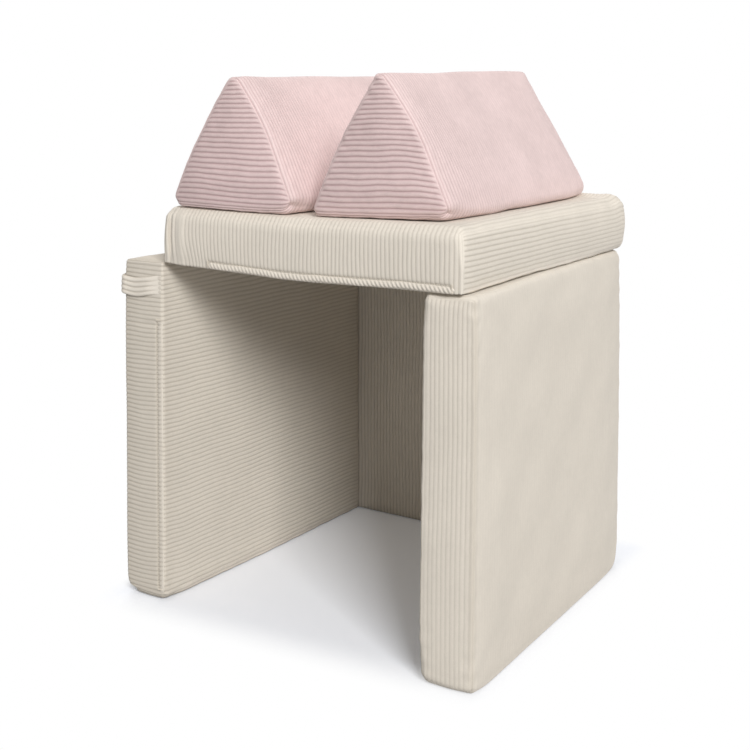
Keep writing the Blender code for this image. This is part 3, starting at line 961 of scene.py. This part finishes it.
def worn_nickel():
    """The zip sliders' plated metal, with fine scratches in its roughness and a slightly uneven surface."""
    made, tree, shader = new_finish("worn_nickel")
    marks = tree.noise(tree.object_place(), 420, 4)
    look = {
        "Base Color": (0.62, 0.60, 0.57, 1),
        "Metallic": 1.0,
        "Roughness": tree.spread(marks, (0, 1), (0.22, 0.5)),
        "Normal": tree.bump(marks, 0.15, 0.0002),
    }
    tree.feed(shader, look)
    return made


def dress(node, look):
    """Gives a CAD node that stays its material."""
    for slot in bpy.data.objects[node].material_slots:
        slot.link = "OBJECT"
        slot.material = look


def floor_finish():
    """The floor's material: white away from the object, and near it a pale grey that keeps the shadow.

    A place is white by how far it lies outside the object's plan, as a share of the width over which each
    side's floor turns white. The plan is turned as the right wall is.
    """
    made = bpy.data.materials.new("studio_floor")
    tree = Tree(made)
    tree.nodes.clear()
    turn = {"Vector": tree.object_place(), "Rotation": (0, 0, -right_wall_turn)}
    plan = tree.add("Mapping", turn, "Vector")
    beyond = []
    for sign, starts, widths in floor_sides:
        shares = [sign / width for width in widths] + [0]
        offsets = [-start / width for start, width in zip(starts, widths)] + [0]
        beyond.append(tree.vectors("MULTIPLY_ADD", plan, shares, offsets))
    larger = tree.vectors("MAXIMUM", *beyond)
    above_zero = tree.vectors("MAXIMUM", larger)
    distance = tree.add("VectorMath", {0: above_zero}, "Value", operation="LENGTH")
    far_share = tree.spread(distance, (0, 1), (0, 1), interpolation_type="SMOOTHSTEP")

    shadowed = tree.add("BsdfDiffuse", {"Color": (0.93, 0.95, 1.0, 1)})
    lift = tree.add("Emission", {"Strength": floor_lift})
    near_object = tree.add("AddShader", {0: shadowed, 1: lift})
    white = tree.add("Emission", {"Strength": 1.0})
    shown = tree.add("MixShader", {0: far_share, 1: near_object, 2: white})
    plain = tree.add("BsdfDiffuse", {"Color": (0.5, 0.5, 0.5, 1)})
    choice = tree.add("MixShader", {0: tree.seen_directly(), 1: plain, 2: shown})
    tree.feed(tree.nodes.new("ShaderNodeOutputMaterial"), {"Surface": choice})
    return made


def studio():
    """A pale floor that shows white but keeps the shadow, a white world, and soft lamps."""
    scene = bpy.context.scene
    scene.view_settings.view_transform = "Standard"
    world = bpy.data.worlds.new("studio")
    scene.world = world
    tree = Tree(world)
    strength = tree.spread(tree.seen_directly(), (0, 1), (0.25, 1.0))
    tree.feed(tree.nodes["Background"], {"Color": (1, 1, 1, 1), "Strength": strength})

    floor_mesh = bpy.data.meshes.new("studio_floor")
    corners = [(x, y, -0.0002) for x, y in ((-14, -14), (14, -14), (14, 14), (-14, 14))]
    floor_mesh.from_pydata(corners, [], [(0, 1, 2, 3)])
    floor = bpy.data.objects.new("studio_floor", floor_mesh)
    scene.collection.objects.link(floor)
    floor_mesh.materials.append(floor_finish())
    for lamp in lamps:
        add_lamp(*lamp)


def add_lamp(name, place, target, size, power):
    lamp = bpy.data.lights.new(name, "AREA")
    lamp.shape = "SQUARE"
    lamp.size = size
    lamp.energy = power
    made = bpy.data.objects.new(name, lamp)
    made.location = place
    made.rotation_euler = (Vector(target) - Vector(place)).to_track_quat("-Z", "Y").to_euler()
    bpy.context.scene.collection.objects.link(made)


def add_camera():
    camera = bpy.data.cameras.new("photograph")
    camera.sensor_width = 36
    camera.sensor_height = 36
    camera.lens = camera_lens
    camera.shift_y = camera_shift
    right = Vector((math.cos(camera_yaw), math.sin(camera_yaw), 0))
    level = math.cos(camera_pitch)
    back = Vector((math.sin(camera_yaw) * level, -math.cos(camera_yaw) * level, math.sin(camera_pitch)))
    up = back.cross(right)
    made = bpy.data.objects.new("photograph", camera)
    made.matrix_world = Matrix.Translation(camera_place) @ Matrix((right, up, back)).transposed().to_4x4()
    bpy.context.scene.collection.objects.link(made)
    bpy.context.scene.camera = made


add_camera()
studio()

# Each cloth's second colour is its painted shade, mixed in by the groove attribute.
cream = corduroy("cream_corduroy_cloth", (0.745, 0.685, 0.60), (0.47, 0.42, 0.35), 0.025)
pink = corduroy("pink_corduroy_cloth", (0.745, 0.592, 0.575), (0.46, 0.315, 0.315), 0.06)

seam_cream = corduroy("cream_tape_cloth", (0.77, 0.71, 0.625), (0.60, 0.54, 0.46), 0.02)
thread = corduroy("cream_stitching", (0.70, 0.64, 0.55), (0.60, 0.54, 0.46), 0.01)
band = corduroy("cream_strap_cloth", (0.77, 0.71, 0.625), (0.50, 0.445, 0.375), 0.02)
seam_pink = corduroy("pink_tape_cloth", (0.76, 0.58, 0.575), (0.60, 0.43, 0.43), 0.03)

far, wide, thick = section_size
quarter = math.pi / 2
left_panel = Section(
    "left_panel",
    Place(fold_a, turned(0, -quarter, 0), -1),
    11,
    edges=(0.0055, 0.007),
    relief=(0.62, 0.75, 0.95),
    # Painted shade: darker on the outside and much darker at the ends.
    face_shade=(0, 0.1, 0.30),
    corners=[
        ((far, 0, thick), (0.018, 0.006, 0.026), (0.014, 0.05, 0.05)),
        ((far, 0, 0), (0.010, 0.010, 0.008), (0.02, 0.05, 0.03)),
    ],
    swells=[
        ((0.11, 0, 0.03), (0, 0.0012, 0), (0.006, 0.02, 0.03)),
        ((0.56, 0.3, 0), (0, 0, -0.003), (0.2, 0.22, 0.03)),
        ((0.3, 0, thick), (0, 0, 0.0005), (0.4, 0.10, 0.03)),
    ],
    bends=[((0.7, 0, 0), -0.007, (0.45, 0.035, 0.035))],
    # Painted shade over the whole front face.
    darker=[((0.3, 0, 0.046), 0.28, (1, 0.02, 1))],
    rests=((0, 0), (0, 1)),
)
roof_panel = Section(
    "roof_panel",
    Place(fold_a, turned(0, 0, 0)),
    23,
    edges=(0.0035, 0.012),
    relief=(0.62, 0.5, 0.75),
    seam=0.5,
    run=roof_crown_run,
    corners=[
        ((0, 0, thick / 2), (0.006, 0.006, 0), (0.04, 0.05, 0.2)),
        ((0.3, 0, thick), (0, 0.004, 0.004), (0.4, 0.05, 0.05)),
        ((far, 0, thick), (0.006, 0.006, 0.002), (0.05, 0.05, 0.05)),
        ((far, wide, 0), (0.010, 0.008, 0.014), (0.06, 0.15, 0.05)),
        ((far, 0, 0.040), (-0.004, -0.004, 0), (0.03, 0.03, 0.04)),
    ],
    swells=[
        roof_sag,
        ((0.4, 0, 0), (0, 0, -0.0048), (0.8, 0.15, 0.06)),
        ((0, 0.1, 0.058), (-0.0033, 0, 0), (0.02, 0.5, 0.046)),
        ((0.02, 0, 0.05), (0, -0.0030, 0), (0.10, 0.03, 0.04)),
        ((far, 0.6, 0.05), (0.0054, 0.002, 0), (0.03, 0.5, 0.036)),
        ((0.578, 0.40, thick), (0, 0, 0.0032), (0.014, 0.30, 0.05)),
        ((0.46, 0.578, thick), (0, 0, 0.0060), (0.3, 0.018, 0.05)),
        ((0.3, 0, 0.04), (0, -0.001, 0), (0.4, 0.03, 0.04)),
        ((0.0195, 0, 0.050), (0, 0.0085, 0), (0.0036, 0.012, 0.034)),
        ((0.031, 0, 0.050), (0, 0.0012, 0), (0.0040, 0.012, 0.04)),
        ((0.046, 0, 0.046), (0, -0.0014, 0), (0.0070, 0.012, 0.05)),
    ],
    bends=[
        ((0.055, 0, 0.0), 0.0075, (0.045, 0.03, 0.035)),
        ((0.019, 0, 0.046), 0.0015, (0.012, 0.03, 0.03)),
    ],
    brushed=[((0.040, 0, 0.05), 0.85, (0.011, 0.02, 0.07))],
    rests=((0, 0), (2, 0)),
    flap=(0.0068, 0.0012, -0.0022, 1, 0.0016),
)
back_panel = Section(
    "back_panel",
    Place(fold_b, turned(-quarter, 0, 0), -1),
    37,
    edges=(0.0065, 0.012),
    relief=(0.8, 0.6, 0.7),
    rests=((1, 1), (0, 0)),
)
right_panel = Section(
    "right_panel",
    Place(fold_b, turned(-quarter, 0, -quarter + right_wall_turn)),
    51,
    edges=(0.0065, 0.0055),
    relief=(0.75, 0.07, 0.47),
    # Painted shade: the outer face and the ends a little darker.
    face_shade=(0, 0.07, 0.07),
    seam=0.3,
    corners=[
        ((far, 0, 0.03), (0.008, 0.014, 0.006), (0.05, 0.05, 0.08)),
        ((0.3, wide, thick), (0, -0.003, -0.003), (0.35, 0.05, 0.05)),
        ((0.3, 0, thick), (0, 0.005, 0.006), (0.45, 0.03, 0.03)),
        ((far, wide, thick), (0.009, 0.010, 0.006), (0.03, 0.03, 0.03)),
        ((far, wide, 0), (0.006, 0.014, 0.010), (0.05, 0.05, 0.05)),
        ((0, wide, thick), (0.012, 0.013, 0.004), (0.03, 0.03, 0.05)),
        ((0, 0, thick), (0.004, 0.008, 0.006), (0.05, 0.06, 0.05)),
    ],
    swells=[
        ((far, wide, 0.046), (0.0115, 0, 0), (0.22, 0.36, 0.3)),
        ((far, 0, 0.046), (0, 0.0054, 0), (0.2, 0.06, 0.2)),
        ((0.33, 0, 0.046), (0, 0.0006, 0), (0.2, 0.04, 0.2)),
        ((0.05, 0.12, thick), (0, 0, 0.0045), (0.25, 0.35, 0.03)),
        ((0.1, 0.45, thick), (0, 0, 0.0022), (0.5, 0.3, 0.03)),
        ((far, 0.02, 0.09), (-0.001, 0.0025, -0.0015), (0.02, 0.012, 0.012)),
    ],
    # Painted shade along the front outer edge, to damp the highlight it catches.
    darker=[((far, 0.3, thick), 0.45, (0.007, 1, 0.007))],
    rests=((1, 1), (1, 0)),
    flap=(0.0135, 0.0008, 0.0002, 0.3, 0.0004),
)
for section in (left_panel, roof_panel, back_panel, right_panel):
    nodes = (section.name + "_cover", section.name + "_core")
    finish_piece(section_cover(section), section.name, cream, nodes)
    finish_piece(zip_flap(section), section.name, seam_cream, [section.name + "_zip_flap"])
    finish_piece(flap_stitches(section), section.name, thread, [])
finish_piece(strap_band(left_panel), "left_panel", band, ["carry_strap"])
folds = ((roof_panel, "left_roof_fold_seam", 0.0040), (right_panel, "back_right_fold_seam", 0.0050))
for section, name, radius in folds:
    finish_piece(fold_welt(section, name + "_welt", radius), section.name, seam_cream, [name])

wedges = (
    (
        "left_wedge",
        (-0.246478, -0.3374, wedge_level),
        71,
        0.0165,
        [((wedge_base, 0, 0), 0.013, (0.06, 0.06, 0.05))],
        [
            ((0.11, 0, 0.03), (-0.001, -0.008, 0), (0.13, 0.05, 0.08)),
            ((0.065, 0.05, 0.120), (-0.0086, 0, 0.0048), (0.10, 0.5, 0.10)),
            ((0.115, 0, wedge_height), (-0.0020, 0, -0.0030), (0.03, 0.06, 0.05)),
            ((0.095, 0, 0.205), (-0.0028, 0, 0.0012), (0.05, 0.2, 0.05)),
            ((wedge_base / 2, 0.08, wedge_height), (0, 0, -0.0028), (0.2, 0.20, 0.10)),
            ((0.19, 0, 0.16), (0.0080, 0, 0.0040), (0.07, 0.06, 0.10)),
            ((0.215, 0.05, 0.11), (0.0034, 0, 0.0018), (0.10, 0.5, 0.10)),
        ],
        -0.0005,
    ),
    (
        "right_wedge",
        (0.031522, -0.3114, wedge_level),
        83,
        0.0125,
        [
            ((wedge_base, 0, 0), 0.012, (0.06, 0.06, 0.05)),
            ((wedge_base, wedge_length, 0), 0.005, (0.06, 0.06, 0.05)),
        ],
        [
            ((0.12, 0, 0.03), (0, -0.006, 0), (0.13, 0.05, 0.08)),
            ((0.07, 0.05, 0.14), (-0.0078, 0, 0.0042), (0.10, 0.4, 0.10)),
            ((0.22, 0.05, 0.11), (0.0052, 0, 0.0028), (0.10, 0.4, 0.10)),
            ((wedge_base / 2, wedge_length, wedge_height), (-0.008, 0, 0.0055), (0.2, 0.35, 0.16)),
            ((wedge_base / 2, 0.08, wedge_height), (0, 0, -0.0032), (0.2, 0.20, 0.10)),
            ((0.12, 0, wedge_height), (-0.0030, 0, 0), (0.03, 0.15, 0.05)),
            ((0.19, 0, 0.16), (0.0080, 0, 0.0040), (0.07, 0.06, 0.10)),
        ],
        -0.001,
    ),
)
for name, corner, seed, radius, corners, swells, lean in wedges:
    place = Place(corner, turned(0, 0, wedge_turn))
    nodes = (name + "_cover", name + "_core")
    cover = wedge_cover(name, place, seed, radius, corners, swells, lean)
    finish_piece(cover, name, pink, nodes)
    finish_piece(wedge_flap(name, place, seed), name, seam_pink, [name + "_zip_flap"])
    finish_piece(wedge_stitches(name, place), name, seam_pink, [])

cream_tape = tape_weave("cream_zip_tape", (0.74, 0.68, 0.59))
pink_tape = tape_weave("pink_zip_tape", (0.72, 0.53, 0.52))
nickel = worn_nickel()
for name in ("left_panel", "roof_panel", "back_panel", "right_panel", "left_wedge", "right_wedge"):
    dress(name + "_zip_chain", pink_tape if "wedge" in name else cream_tape)
    dress(name + "_zip_slider", nickel)
